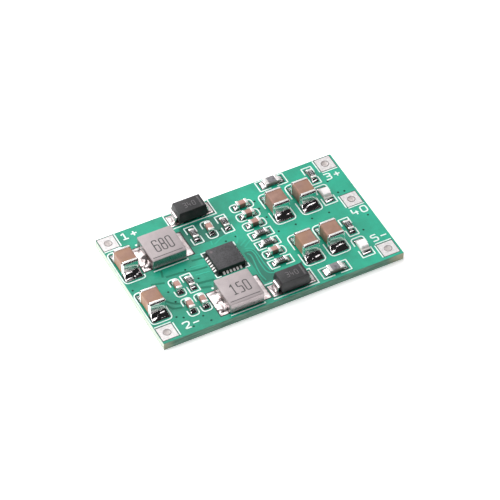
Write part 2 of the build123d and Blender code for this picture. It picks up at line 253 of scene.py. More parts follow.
def paintEpoxy(name, dark, light, rough, sides=1.0):
    # black mould compound with a sparkle of filler; sides: how much of the tone the sides keep, the rest
    # being painted shade that turns them towards black below the top
    paint = Paint(name)
    grit = paint.ramp(paint.grain(0.18, 4.0), 0.35, 0.65)
    cloud = paint.ramp(paint.grain(1.1, 2.0), 0.3, 0.7)
    colour = paint.mix(grit * 0.6 + cloud * 0.4, dark, light)
    if sides < 1:
        # painted shade: below the top the colour is darkened towards black
        low = paint.axis(2) < boardTop + 0.8
        colour = paint.mix(low * (1 - sides), colour, tint(0, 0, 0))
    return paint.finish(baseColor=colour, roughness=rough + grit * 0.14, normal=paint.dents(grit, 0.005))


def paintCeramic(name, dark, light, rough, shade=0.0, warm=None):
    # fired ceramic: cloudy tone, faint speckle, soft gloss; shade: how far painted shade darkens it towards
    # the board;
    # warm: a second tone that takes over in wide clouds
    paint = Paint(name)
    cloud = paint.ramp(paint.grain(0.9, 3.0), 0.3, 0.7)
    speck = paint.ramp(paint.grain(0.09, 2.0), 0.35, 0.65)
    colour = paint.mix(cloud * 0.65 + speck * 0.35, dark, light)
    if warm:
        colour = paint.mix(paint.ramp(paint.grain(3.5, 1.0), 0.42, 0.6) * 0.6, colour, warm)
    if shade:
        # painted shade, deepest at the board and gone 0.85 mm above it
        depth = 1 - paint.ramp(paint.axis(2), boardTop, boardTop + 0.85)
        colour = paint.mix(depth * shade, colour, tint(52, 40, 36))
    return paint.finish(baseColor=colour, roughness=rough + speck * 0.08, normal=paint.dents(speck, 0.004))


def paintLens():
    # milky lens with a painted glow: a faint emission lifts the sides that face away from the lamps
    paint = Paint("light lens")
    cloud = paint.ramp(paint.grain(0.9, 3.0), 0.3, 0.7)
    colour = paint.mix(cloud, tint(240, 235, 235), tint(250, 246, 246))
    return paint.finish(baseColor=colour, roughness=0.4 + cloud * 0.1, emissionColor=colour,
                        emissionStrength=0.16)


def paintCoats():
    # black glass on the small resistors, lighter grey glass on the two larger ones at the board's sides
    paint = Paint("black glass")
    along, across = paint.axis(0), paint.axis(1)
    larger = (along > 6) * (along < 11) * (abs(across) > 8.3)
    cloud = paint.ramp(paint.grain(0.5, 3.0), 0.3, 0.7)
    black = paint.mix(cloud, tint(4, 4, 5), tint(20, 18, 20))
    grey = paint.mix(cloud, tint(108, 106, 110), tint(134, 132, 136))
    return paint.finish(baseColor=paint.mix(larger, black, grey), roughness=0.24 + cloud * 0.1)


paints = {
    "laminate": paintLaminate(),
    "white_ink": paintInk(),
    "tinned_land": paintMetal("tinned land", tint(198, 194, 194), tint(224, 220, 220), 0.4, 0.3, 0.008, 0.5),
    "solder": paintMetal("solder", tint(214, 206, 208), tint(246, 241, 242), 0.05, 0.45, 0.016),
    "fluxed": paintFluxed(),
    "leadSolder": paintMetal("lead solder", tint(232, 227, 225), tint(248, 245, 243), 0.4, 0.3, 0.004, 0.1),
    "tinned_strip": paintMetal("tinned strip", tint(208, 200, 200), tint(242, 236, 236), 0.16, 0.4, 0.006),
    "dipped_metal": paintMetal("dipped metal", tint(232, 227, 225), tint(252, 249, 247), 0.09, 0.5, 0.0,
                               0.88),
    "pressed_powder": paintPowder(),
    "moulded_epoxy": paintEpoxy("moulded epoxy", tint(14, 14, 16), tint(46, 44, 47), 0.36),
    # the controller's sides take painted shade
    "controller_epoxy": paintEpoxy("controller epoxy", tint(24, 24, 26), tint(74, 72, 76), 0.4, 0.2),
    "large_dielectric": paintCeramic("large dielectric", tint(142, 104, 89), tint(168, 128, 112), 0.38,
                                     warm=tint(160, 118, 86)),
    # the small capacitors' sides take painted shade
    "small_dielectric": paintCeramic("small dielectric", tint(166, 118, 106), tint(194, 148, 138), 0.38, 0.8),
    "black_glass": paintCoats(),
    # the alumina is painted darker than its own white, as painted shade, and darker still towards the board
    "alumina": paintCeramic("alumina", tint(140, 136, 130), tint(172, 168, 161), 0.5, 0.9),
    "light_base": paintCeramic("light base", tint(220, 214, 208), tint(238, 234, 230), 0.5),
    "light_lens": paintLens(),
}
print("paints made:", len(paints))


def carry(piece, slotName, nodes=(), paint=None):
    # every new piece gets its paint, its slot's unless another is given, joins the root body, and hides the
    # nodes that it stands for
    piece.data.materials.clear()
    piece.data.materials.append(paint or paints[slotName])
    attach(piece, "root")
    if nodes:
        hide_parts(*nodes)


def meshPiece(name, corners, faces, smooth=False):
    # corners in millimetres, as one array
    mesh = bpy.data.meshes.new(name)
    mesh.from_pydata((np.asarray(corners) * mm).tolist(), [], [list(map(int, face)) for face in faces])
    mesh.polygons.foreach_set("use_smooth", np.full(len(mesh.polygons), smooth))
    mesh.update()
    piece = bpy.data.objects.new(name, mesh)
    bpy.context.scene.collection.objects.link(piece)
    return piece


def gather(shells):
    # several (corners, faces) shells as one
    corners, faces, count = [], [], 0
    for points, loops in shells:
        corners.append(points)
        faces += [[corner + count for corner in loop] for loop in loops]
        count += len(points)
    return np.concatenate(corners), faces


def gridFaces(rows, columns, wrap=False):
    # quads of a grid whose corners run row by row; wrap joins the last column to the first
    across = columns if wrap else columns - 1
    first = (np.arange(rows - 1)[:, None] * columns + np.arange(across)).ravel()
    step = np.where(first % columns == columns - 1, 1 - columns, 1)
    return np.stack([first, first + step, first + step + columns, first + columns], 1).tolist()


def softened(name, nodes, edge, segments=3, angle=25):
    # a copy of CAD nodes, its loose triangles merged and its sharp edges rolled over by edge
    work = bmesh.new()
    for node in nodes:
        work.from_mesh(frame["nodes"][node].data)
    bmesh.ops.remove_doubles(work, verts=work.verts, dist=0.0005 * mm)
    bmesh.ops.dissolve_limit(work, angle_limit=math.radians(1), verts=work.verts, edges=work.edges)
    mesh = bpy.data.meshes.new(name)
    work.to_mesh(mesh)
    work.free()
    piece = bpy.data.objects.new(name, mesh)
    bpy.context.scene.collection.objects.link(piece)
    bevel = piece.modifiers.new("rolled edges", "BEVEL")
    bevel.width = edge * mm
    bevel.segments = segments
    bevel.limit_method = "ANGLE"
    bevel.angle_limit = math.radians(angle)
    bevel.use_clamp_overlap = True
    bevel.harden_normals = True
    mesh.polygons.foreach_set("use_smooth", np.full(len(mesh.polygons), True))
    return piece


def rounded(path, radius, closed=False, steps=5):
    # Corner p becomes (1-t)^2 a + 2t(1-t) p + t^2 b, where a and b lie a radius before and after it.
    path = np.asarray(path, float)
    before, after = np.roll(path, 1, 0) - path, np.roll(path, -1, 0) - path
    first = path + before * np.minimum(radius / np.linalg.norm(before, axis=1, keepdims=True), 0.49)
    second = path + after * np.minimum(radius / np.linalg.norm(after, axis=1, keepdims=True), 0.49)
    t = np.linspace(0, 1, steps)[None, :, None]
    bends = (1 - t) ** 2 * first[:, None] + 2 * t * (1 - t) * path[:, None] + t ** 2 * second[:, None]
    if closed:
        return bends.reshape(-1, 2)
    return np.concatenate([path[:1], bends[1:-1].reshape(-1, 2), path[-1:]])


def ribbon(path, width, low, high, closed=False):
    # A flat strip: each point of the path plus and minus the side, from low to high. The side stands square
    # on the mean of the directions before and after, half the width over the cosine of half the turn long.
    path = np.asarray(path, float)
    before = np.roll(path, 1, 0) if closed else np.vstack([2 * path[0] - path[1], path[:-1]])
    after = np.roll(path, -1, 0) if closed else np.vstack([path[1:], 2 * path[-1] - path[-2]])
    into = (path - before) / np.linalg.norm(path - before, axis=1, keepdims=True)
    out = (after - path) / np.linalg.norm(after - path, axis=1, keepdims=True)
    along = into + out
    along /= np.linalg.norm(along, axis=1, keepdims=True)
    stretch = 1 / np.maximum(np.sum(along * out, 1), 0.3)
    side = np.stack([-along[:, 1], along[:, 0]], 1) * (stretch * width / 2)[:, None]
    left, right = path + side, path - side
    corners = np.stack([np.c_[right, np.full(len(path), low)], np.c_[left, np.full(len(path), low)],
                        np.c_[left, np.full(len(path), high)], np.c_[right, np.full(len(path), high)]], 1)
    faces = gridFaces(len(path), 4, wrap=True)
    last = (len(path) - 1) * 4
    if closed:
        faces += [[last + k, last + (k + 1) % 4, (k + 1) % 4, k] for k in range(4)]
    else:
        faces += [[3, 2, 1, 0], [last, last + 1, last + 2, last + 3]]
    return corners.reshape(-1, 3), faces


def lathe(place, profile, steps=24):
    # Corner = place + radius * (cos turn, sin turn), at the profile's height. A profile that ends where it
    # starts makes a ring, and any other one gets a flat cap at either end.
    turn = np.linspace(0, 2 * np.pi, steps, endpoint=False)
    profile = np.asarray(profile, float)
    radius, height = profile[:, :1], profile[:, 1:]
    corners = np.stack([place[0] + radius * np.cos(turn), place[1] + radius * np.sin(turn),
                        height + 0 * turn], 2).reshape(-1, 3)
    faces = gridFaces(len(profile), steps, wrap=True)
    last = (len(profile) - 1) * steps
    if profile[0, 0] > 0 and np.allclose(profile[0], profile[-1]):
        return corners, faces
    faces.append(list(range(steps))[::-1])
    faces.append(list(range(last, last + steps)))
    return corners, faces


def facingOut(piece):
    # all faces turned outwards, once near corners are merged
    work = bmesh.new()
    work.from_mesh(piece.data)
    bmesh.ops.remove_doubles(work, verts=work.verts, dist=0.0002 * mm)
    bmesh.ops.recalc_face_normals(work, faces=work.faces)
    work.to_mesh(piece.data)
    work.free()
    return piece


def onBoard(middle, along, points):
    # points along and across a chip's length, laid on the board: middle + first * along + second * across
    across = np.array([-along[1], along[0]])
    points = np.asarray(points, float)
    return middle + points[:, :1] * along + points[:, 1:] * across


# The camera as fitted to the photo: its axes, its place in millimetres from the middle of the board's top,
# and its focal length in pixels of a frame this wide. near and far are in metres.
camera = {"back": (-0.31279, -0.60863, 0.72919), "right": (0.88942, -0.45710, 0.0),
          "up": (0.33331, 0.64856, 0.68431), "distance": 424.16, "aside": 0.10, "above": -0.48,
          "focal": 3143.09, "frame": 500, "sensor": 36, "near": 0.02, "far": 20}


def placeCamera():
    back, right, up = (Vector(camera[key]) for key in ("back", "right", "up"))
    made = bpy.data.objects.new("camera", bpy.data.cameras.new("camera"))
    bpy.context.scene.collection.objects.link(made)
    made.data.sensor_width = camera["sensor"]
    made.data.lens = camera["sensor"] * camera["focal"] / camera["frame"]
    spot = back * camera["distance"] + right * camera["aside"] + up * camera["above"]
    made.matrix_world = Matrix((
        (right.x, up.x, back.x, spot.x * mm), (right.y, up.y, back.y, spot.y * mm),
        (right.z, up.z, back.z, (spot.z + boardTop) * mm), (0, 0, 0, 1)))
    made.data.clip_start = camera["near"]
    made.data.clip_end = camera["far"]
    bpy.context.scene.camera = made


# The floor is in millimetres and the square lamps, which all look at the object, are in metres and watts.
studio = {
    "sky": tint(150, 152, 156), "skyPower": 0.06,
    "floor": tint(252, 252, 252), "floorGlow": 0.38, "floorHalf": 1800, "floorDrop": 0.02,
    "lamps": [
        {"name": "key", "at": (-0.11, 0.31, 0.40), "size": 0.42, "power": 1.5},
        {"name": "back", "at": (0.20, 0.48, 0.42), "size": 0.80, "power": 1.75},
        {"name": "top", "at": (0.05, 0.05, 0.60), "size": 0.36, "power": 1.15},
        {"name": "side", "at": (-0.16, 0.02, 0.09), "size": 0.12, "power": 0.24},
    ],
}


def lightStudio():
    half, drop = studio["floorHalf"], studio["floorDrop"]
    floor = meshPiece("floor", [[-half, -half, -drop], [half, -half, -drop], [half, half, -drop],
                                [-half, half, -drop]], [[0, 1, 2, 3]])
    floor.data.materials.append(Paint("pale floor").finish(
        baseColor=studio["floor"], roughness=0.9, emissionColor=studio["floor"],
        emissionStrength=studio["floorGlow"]))
    floor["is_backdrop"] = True
    world = bpy.data.worlds.new("studio")
    bpy.context.scene.world = world
    world.use_nodes = True
    world.node_tree.nodes["Background"].inputs["Color"].default_value = studio["sky"]
    world.node_tree.nodes["Background"].inputs["Strength"].default_value = studio["skyPower"]
    for lamp in studio["lamps"]:
        data = bpy.data.lights.new(lamp["name"], "AREA")
        data.shape = "SQUARE"
        data.size = lamp["size"]
        data.energy = lamp["power"]
        made = bpy.data.objects.new(lamp["name"], data)
        made.location = lamp["at"]
        made.rotation_mode = "QUATERNION"
        made.rotation_quaternion = (-Vector(lamp["at"])).to_track_quat("-Z", "Y")
        bpy.context.scene.collection.objects.link(made)


bpy.context.scene.view_settings.view_transform = "Standard"
placeCamera()
lightStudio()
print("camera and studio set")


# the CAD nodes that keep their own shape take the paint of their slot
special = {"controller_solder": "leadSolder"}
for entry in frame["record"]["subparts"]:
    mesh = frame["nodes"][entry["node"]].data
    mesh.materials.clear()
    mesh.materials.append(paints[special.get(entry["node"], entry["material_slot"])])


sides = ("input", "positive", "negative")
largeCapacitors = [f"{side}_capacitor_{n}_ceramic" for side in sides for n in (1, 2)]
smallCapacitors = [f"small_capacitor_{n}_ceramic" for n in range(1, 9)]
smallResistors = [f"small_resistor_{n}_chip" for n in range(1, 9)]
mediumResistors = ["medium_resistor_1_chip", "medium_resistor_2_chip"]
lights = ["indicator_light_1_base", "indicator_light_2_base"]
inductors = ["inductor_1_core", "inductor_2_core"]
diodes = ["diode_1_body", "diode_2_body"]
terminals = [f"{side}_terminal" for side in ("input", "input_return", "positive_output", "output_return",
                                             "negative_output")]

# edge: how far the sharp edges roll over
bodies = {
    "inductorCores": {"nodes": inductors, "edge": 0.05, "slot": "pressed_powder"},
    "diodeBodies": {"nodes": diodes, "edge": 0.05, "slot": "moulded_epoxy"},
    "controllerBody": {"nodes": ["controller_body"], "edge": 0.03, "slot": "controller_epoxy"},
    "largeCapacitorEnds": {"nodes": [name.replace("ceramic", "ends") for name in largeCapacitors],
                           "edge": 0.07, "slot": "dipped_metal"},
    "largeCapacitorBlocks": {"nodes": largeCapacitors, "edge": 0.05, "slot": "large_dielectric"},
    "smallCapacitorBlocks": {"nodes": smallCapacitors, "edge": 0.05, "slot": "small_dielectric"},
    "smallCapacitorEnds": {"nodes": ["small_capacitor_ends"], "edge": 0.05, "slot": "dipped_metal"},
    "resistorEnds": {"nodes": ["resistor_ends"], "edge": 0.015, "slot": "dipped_metal"},
    "resistorCoats": {"nodes": ["resistor_coats"], "edge": 0.01, "slot": "black_glass"},
    "lightBases": {"nodes": lights, "edge": 0.03, "slot": "light_base"},
    "lightLenses": {"nodes": [name.replace("base", "lens") for name in lights], "edge": 0.1,
                    "slot": "light_lens"},
}
for name, body in bodies.items():
    carry(softened(name, body["nodes"], body["edge"]), body["slot"], body["nodes"])
print("bodies rolled:", len(bodies))


# face: from the part's middle to its end; reach: land in front of it; width: of the land; climb: height of
# the solder at the face; farClimb: the same at the right-hand end; neck: width of what the solder climbs;
# heel: land under the part; fall: 1 for a straight slope and more for a hollow one
joints = {
    "powerJoints": {"replaces": "power_solder", "paint": "fluxed", "kinds": [
        {"nodes": inductors, "face": 2.525, "reach": 1.25, "width": 4.5, "climb": 0.5, "neck": 3.2,
         "heel": 1.2, "fall": 1.9, "farClimb": 0.1},
        {"nodes": diodes, "face": 2.55, "reach": 0.65, "width": 2.1, "climb": 0.5, "neck": 1.5, "heel": 1.2,
         "fall": 1.6, "farClimb": 0.2}]},
    "smallJoints": {"replaces": "small_solder", "paint": "solder", "kinds": [
        {"nodes": smallCapacitors, "face": 0.8, "reach": 0.45, "width": 0.82, "climb": 0.42, "neck": 0.82,
         "heel": 0.35, "fall": 1.1},
        {"nodes": smallResistors, "face": 0.84, "reach": 0.45, "width": 0.82, "climb": 0.3, "neck": 0.82,
         "heel": 0.3, "fall": 1.2},
        {"nodes": mediumResistors, "face": 1.04, "reach": 0.65, "width": 1.25, "climb": 0.38, "neck": 1.25,
         "heel": 0.4, "fall": 1.15},
        {"nodes": lights, "face": 1.0, "reach": 0.45, "width": 1.25, "climb": 0.2, "neck": 1.25,
         "heel": 0.3, "fall": 1.5}]},
    "capacitorJoints": {"replaces": "capacitor_solder", "paint": "solder", "kinds": [
        {"nodes": largeCapacitors, "face": 1.6, "reach": 1.05, "width": 2.5, "climb": 0.75, "neck": 2.5,
         "heel": 0.5, "fall": 1.1}]},
}
# film: solder over a whole land; least: at its rim; ripple: share of the climb; past: how far the climb
# runs on beyond the neck; endRim, sideRim: share of the reach and millimetres in which the film fades
# sway: how far the fall varies across the land
flow = {"film": 0.05, "least": 0.004, "ripple": 0.08, "past": 1.06, "endRim": 0.1, "sideRim": 0.06,
        "sway": 0.12}


def meniscus(middle, along, kind, climb):
    # Height over the board: the film, plus the climb times (1 - u) to the power of the fall, u running
    # from the part's face to the land's edge, plus a ripple that bends the mirrored lamps. The climb
    # fades out past the neck, the film at the land's rim.
    u = np.concatenate([[-kind["heel"] / kind["reach"], -0.001], np.linspace(0, 1, 13)])
    half, neck = kind["width"] / 2, kind["neck"] / 2
    v = np.unique(np.concatenate([half * np.array([0.2, 0.5, 0.75, 0.9, 0.97, 1]),
                                  neck * np.array([0.9, 0.97, 1, flow["past"]])]).clip(0, half).round(4))
    u, v = np.meshgrid(u, np.concatenate([-v[::-1], v]), indexing="ij")
    start = 7 * middle[0] + 5 * middle[1] + 3 * along[0] + 2 * along[1]
    bend = 9 * u + 2.2 * v + np.sin(3.1 * v + 3 * start)
    ripple = flow["ripple"] * np.sin(start + bend) * np.clip(u * (1 - u) * 4, 0, 1) * (u >= 0)
    fall = kind["fall"] * (1 + flow["sway"] * np.sin(start + 1.4 * v))
    slope = (np.clip(1 - u, 0, 1) ** fall + ripple) * (u >= 0)
    side = np.sqrt(np.clip(1 - np.abs(v / neck / flow["past"]) ** 6, 0, 1))
    brim = np.clip((1 - u) / flow["endRim"], 0, 1) ** 0.5
    brim = brim * np.clip((half - np.abs(v)) / flow["sideRim"], 0, 1) ** 0.5
    height = np.maximum(flow["film"] * brim + climb * slope * side, flow["least"])
    flat = onBoard(middle, along, np.stack([(kind["face"] + kind["reach"] * u).ravel(), v.ravel()], 1))
    rows, columns = u.shape
    count = rows * columns
    corners = np.concatenate([np.c_[flat, boardTop + height.ravel()], np.c_[flat, np.full(count, boardTop)]])
    faces = gridFaces(rows, columns)
    faces += [[corner + count for corner in face[::-1]] for face in faces]
    index = np.arange(count).reshape(rows, columns)
    rim = np.concatenate([index[0], index[1:, -1], index[-1, -2::-1], index[-2:0:-1, 0]])
    following = np.roll(rim, -1)
    faces += np.stack([following, rim, rim + count, following + count], 1).tolist()
    return corners, faces


for name, group in joints.items():
    shells = []
    for kind in group["kinds"]:
        for node in kind["nodes"]:
            middle, along = seatOf(node)
            shells.append(meniscus(middle, -along, kind, kind["climb"]))
            shells.append(meniscus(middle, along, kind, kind.get("farClimb", kind["climb"])))
    piece = facingOut(meshPiece(name, *gather(shells), smooth=True))
    carry(piece, "solder", [group["replaces"]], paints[group["paint"]])
    print(name, "made:", len(shells))


# White ink round each part, in two halves with rounded corners. kinds: the outline's whole length and width;
# opening: bare length in the middle of the long sides. The other parts have the middle line of their ink,
# half its length and half its width from their middle. inputBare: where each input capacitor's right side
# stops, the first one's at an inductor's land.
ink = {"pen": 0.17, "thick": 0.03, "opening": 0.9, "kinds": [
    {"nodes": largeCapacitors[2:], "length": 6.3, "width": 3.24, "corner": 0.75},
    {"nodes": smallCapacitors, "length": 3.5, "width": 1.62, "corner": 0.55},
    {"nodes": smallResistors, "length": 3.58, "width": 1.62, "corner": 0.05},
    {"nodes": mediumResistors, "length": 4.38, "width": 2.05, "corner": 0.05}],
    "input": (3.06, 1.53), "inputCorner": 0.7, "inputBare": (2.4, 0.45),
    "light": (1.86, 0.94), "lightCorners": (0.45, 0.03), "diode": (3.4, 1.42),
    "inductor": (2.55, 2.775), "inductorArm": 0.225, "inductorShort": 0.4,
    "landGap": 0.12, "landHalf": 1.2, "controllerHalf": 2.45, "controllerArm": 0.65}


def pen(path, turn, closed=False):
    # lines drawn one after another lie a hair apart, so that no two share a face
    return ribbon(path, ink["pen"], boardTop, boardTop + ink["thick"] + 0.002 * (turn % 5), closed)


def halfLoop(end, side, corner, start, stop):
    # from the long side's bare middle round one end of a part to its other long side
    way = np.sign(end)
    return rounded([(start * way, side), (end, side), (end, -side), (stop * way, -side)], corner)


def inkLines():
    # all open lines of ink, in the order in which they are drawn
    lines = []
    bare = ink["opening"] / 2
    for kind in ink["kinds"]:
        end, side = (kind["length"] - ink["pen"]) / 2, (kind["width"] - ink["pen"]) / 2
        for node in kind["nodes"]:
            lines += [onBoard(*seatOf(node), halfLoop(way * end, side, kind["corner"], bare, bare))
                      for way in (-1, 1)]
    end, side = ink["input"]
    for node, stop in zip(largeCapacitors[:2], ink["inputBare"]):
        lines += [onBoard(*seatOf(node), halfLoop(way * end, side, ink["inputCorner"], 0, stop))
                  for way in (-1, 1)]
    end, side = ink["light"]
    for node in lights:
        lines += [onBoard(*seatOf(node), halfLoop(way * end, side, corner, bare, bare))
                  for way, corner in zip((1, -1), ink["lightCorners"])]
    lines.append(onBoard(*seatOf(diodes[1]), diodeBox))  # open where the inductor's land begins
    end, side = ink["inductor"]
    for node in inductors:
        lines += [onBoard(*seatOf(node), [(end, way * (side - ink["inductorArm"])), (end, way * side),
                                          (ink["inductorShort"] * (way > 0) - end, way * side)])
                  for way in (-1, 1)]
    half, arm = ink["controllerHalf"], ink["controllerArm"]
    for x in (-1, 1):
        for y in (-1, 1):
            lines.append(onBoard(*seatOf("controller_body"), [
                (x * half, y * (half - arm)), (x * half, y * half), (x * (half - arm), y * half)]))
    half = ink["landHalf"]
    away = half + ink["landGap"] + ink["pen"] / 2
    for node in terminals:
        centre = boxOf(node)[0][:2]
        x, y = -np.sign(centre) * away
        lines += [onBoard(centre, alongX, [(x, -half), (x, half)]),
                  onBoard(centre, alongX, [(-half, y), (half, y)])]
    return lines


end, side = ink["diode"]
diodeBox = [(-end, side), (end, side), (end, -side), (-end, -side)]
inkShells = [pen(line, turn) for turn, line in enumerate(inkLines())]
inkShells.append(pen(onBoard(*seatOf(diodes[0]), diodeBox), 0, True))
carry(facingOut(meshPiece("inkOutlines", *gather(inkShells))), "white_ink", ["printed_outlines"])
print("ink lines drawn:", len(inkShells))


# Numerals and signs are strokes in a cell one wide and two high: points, corner radius, closed or not.
glyphs = {
    "0": [([(0, 0), (1, 0), (1, 2), (0, 2)], 0.42, True)],
    "1": [([(0.05, 1.6), (0.5, 2), (0.5, 0)], 0.05, False), ([(0.05, 0), (0.95, 0)], 0, False)],
    "2": [([(0, 1.6), (0, 2), (1, 2), (1, 1.1), (0, 0), (1, 0)], 0.3, False)],
    "3": [([(0, 2), (1, 2), (1, 1.08), (0.3, 1.08)], 0.4, False),
          ([(0.28, 1), (1, 1), (1, 0), (0, 0)], 0.4, False)],
    "4": [([(0.05, 2), (0.05, 0.75), (1, 0.75)], 0.04, False), ([(0.72, 1.3), (0.72, 0)], 0, False)],
    "5": [([(1, 2), (0.05, 2), (0.05, 1.15), (1, 1.15), (1, 0), (0, 0)], 0.3, False)],
    "6": [([(1, 1.65), (1, 2), (0, 2), (0, 0), (1, 0), (1, 1.15), (0, 1.15)], 0.35, False)],
    "7": [([(0, 2), (1, 2), (0.4, 0)], 0.1, False)],
    "8": [([(0, 0), (1, 0), (1, 1.06), (0, 1.06)], 0.48, True),
          ([(0.06, 1), (0.94, 1), (0.94, 2), (0.06, 2)], 0.44, True)],
    "+": [([(0, 0.9), (1, 0.9)], 0, False), ([(0.5, 0.15), (0.5, 1.65)], 0, False)],
    "-": [([(0, 0.9), (1, 0.9)], 0, False)],
}


def lettering(name, notes):
    # Each note has its text, middle, base and thickness, height, cell and gap, pen and direction. A point of
    # a letter becomes the point times the cell and half the height, plus a cell and a gap for each letter
    # before it, less half the text. A letter's strokes end a hair apart, so that no two share a face.
    shells = []
    for note in notes:
        along = note.get("along", alongX)
        cell, step, scale = note["cell"], note["cell"] + note["gap"], note["height"] / 2
        start = -(step * len(note["text"]) - note["gap"]) / 2
        for place, letter in enumerate(note["text"]):
            for turn, (points, radius, closed) in enumerate(glyphs[letter]):
                stroke = np.array(points) * [cell, scale] + [start + step * place, -scale]
                if radius:
                    stroke = rounded(stroke, radius * cell, closed)
                low, high = note["base"], note["base"] + note["thick"] + 0.002 * turn
                shells.append(ribbon(onBoard(note["at"], along, stroke), note["pen"], low, high, closed))
    return facingOut(meshPiece(name, *gather(shells)))


def flatPaint(name, colour, rough):
    # print with a little wear
    paint = Paint(name)
    wear = paint.ramp(paint.grain(0.15, 3.0), 0.3, 0.7)
    return paint.finish(baseColor=paint.mix(wear * 0.35, colour, tint(150, 146, 146)), roughness=rough)


darkPrint = flatPaint("dark print", tint(40, 36, 38), 0.5)
palePrint = flatPaint("pale print", tint(226, 222, 224), 0.6)
faintPrint = flatPaint("faint print", tint(88, 84, 88), 0.6)

bigNumerals = {"cell": 0.62, "gap": 0.38, "pen": 0.17, "thick": 0.006, "aside": (0.1, -0.2),
               "texts": ("680", "150"), "heights": (2.1, 1.85)}
inductorNumerals = []
for node, text, height in zip(inductors, bigNumerals["texts"], bigNumerals["heights"]):
    spot, level = topOf(node)
    inductorNumerals.append(dict(bigNumerals, text=text, at=spot + bigNumerals["aside"], base=level,
                                 height=height))
carry(lettering("inductorNumerals", inductorNumerals), "pressed_powder", paint=darkPrint)

signs = {"height": 1.12, "cell": 0.86, "gap": 0.5, "pen": 0.21, "base": boardTop, "thick": 0.03,
         "places": [("1+", -13.5, 9.38), ("2-", -13.15, -8.9), ("3+", 16.35, 6.8), ("40", 16.45, -0.85),
                    ("5-", 16.45, -6.35)]}
terminalSigns = [dict(signs, text=text, at=np.array([x, y])) for text, x, y in signs["places"]]
carry(lettering("terminalSigns", terminalSigns), "white_ink")

chipNumbers = {"height": 0.36, "cell": 0.13, "gap": 0.18, "pen": 0.05, "thick": 0.004, "coat": 0.04,
               "texts": ("220", "470", "100", "330", "150", "680", "820", "820")}
resistorNumbers = []
for node, text in zip(smallResistors, chipNumbers["texts"]):
    spot, level = topOf(node)
    resistorNumbers.append(dict(chipNumbers, text=text, at=spot, base=level + chipNumbers["coat"],
                                along=seatOf(node)[1]))
carry(lettering("resistorNumbers", resistorNumbers), "black_glass", paint=palePrint)

diodeMarks = {"height": 0.85, "cell": 0.4, "gap": 0.25, "pen": 0.08, "thick": 0.004, "text": "340"}
diodeNumbers = [dict(diodeMarks, at=topOf(node)[0], base=topOf(node)[1]) for node in diodes]
carry(lettering("diodeNumbers", diodeNumbers), "moulded_epoxy", paint=faintPrint)

# The band across each diode's marked end.
diodeBand = {"aside": 1.55, "half": 0.95, "pen": 0.26, "thick": 0.006}
bandShells = []
for node in diodes:
    spot, level = topOf(node)
    line = [spot + [diodeBand["aside"], way * diodeBand["half"]] for way in (-1, 1)]
    bandShells.append(ribbon(line, diodeBand["pen"], level, level + diodeBand["thick"]))
bandPaint = flatPaint("faint band", tint(62, 58, 62), 0.6)
carry(facingOut(meshPiece("diodeBands", *gather(bandShells))), "moulded_epoxy", paint=bandPaint)
print("numerals and signs made")


# The thin dark line on top of each inductor, a little behind its front edge, where the bevel begins. from and
# to are shares of its length.
bevelLine = {"behind": 0.43, "from": 0.05, "to": 0.92, "pen": 0.13, "thick": 0.012}
bevelLineShells = []
for node in inductors:
    centre, size = boxOf(node)
    start, stop = (centre[0] + size[0] * (bevelLine[end] - 0.5) for end in ("from", "to"))
    line = centre[1] - size[1] / 2 + bevelLine["behind"]
    level = topOf(node)[1]
    high = level + bevelLine["thick"]
    bevelLineShells.append(ribbon([(start, line), (stop, line)], bevelLine["pen"], level, high))
bevelLinePaint = flatPaint("bevel line", tint(86, 80, 81), 0.5)
carry(facingOut(meshPiece("bevelLines", *gather(bevelLineShells))), "pressed_powder", paint=bevelLinePaint)

# Copper under the mask: darker fields and gaps where there is none, and lighter tracks. Each line is a width
# and a path, and ends a hair above the one before it.
copper = {
    "copperFields": {"thick": 0.004, "bend": 0, "tone": tint(0, 116, 95), "rough": 0.42, "lines": [
        (3.9, [(-7.1, 5.3), (-1.2, 5.3)]), (2.1, [(-0.15, -0.75), (-0.15, -6.9)])]},
    "copperGaps": {"thick": 0.012, "bend": 0.4, "tone": tint(0, 118, 92), "rough": 0.7, "lines": [
        (0.3, [(-12.55, 1.4), (-12.9, 0.2)]),
        (0.3, [(-12.5, 0.05), (-10.4, -0.1), (-8.4, -0.65), (-6.7, -0.75)]),
        (0.36, [(-9.2, -2.9), (-6.9, -3.25)]), (0.3, [(-8.1, 1.15), (-6.4, 1.0)]),
        (0.36, [(-9.3, -3.75), (-7.8, -4.2)]), (0.3, [(-14.9, -0.3), (-13.1, -0.8)]),
        (0.3, [(-14.4, -3.8), (-13.9, -4.5), (-12.9, -5.1)]),
        (0.3, [(-14.7, -4.4), (-14.2, -5.5), (-12.8, -5.85)]),
        (0.3, [(4.3, -9.6), (4.3, -6.4), (5.0, -5.7)])]},
    "copperTracks": {"thick": 0.016, "bend": 0.4, "tone": tint(22, 176, 145), "rough": 0.4, "lines": [
        (0.2, [(-3.95, 2.5), (-3.35, 2.8), (-2.45, 3.3), (-1.0, 3.4)]), (0.2, [(-4.3, 2.5), (-4.15, 3.3)]),
        (0.2, [(-1.0, 0.65), (0.15, 1.35)]), (0.2, [(-0.6, 0.2), (0.95, 1.15)]),
        (0.2, [(-1.3, 1.3), (-0.6, 2.1), (-0.6, 3.3)]),
        (0.16, [(-0.75, -0.15), (0.0, -0.25), (0.35, -0.95), (0.4, -2.25), (0.36, -3.85), (0.55, -5.2)]),
        (0.16, [(-0.8, -0.5), (-0.05, -0.75), (0.08, -1.7), (-0.05, -2.7), (-0.12, -4.0), (-0.06, -5.15),
                (0.4, -5.7), (1.2, -5.9)]),
        (0.16, [(-0.9, -1.05), (-0.55, -1.35), (-0.56, -2.15), (-0.72, -3.05), (-0.87, -3.9), (-1.0, -5.35),
                (-0.8, -6.5)]),
        (0.2, [(-7.5, 1.85), (-6.4, 1.75)]), (0.2, [(-8.95, 0.1), (-6.7, -0.1)]),
        (0.2, [(-8.8, -1.45), (-6.8, -1.65)])]}}
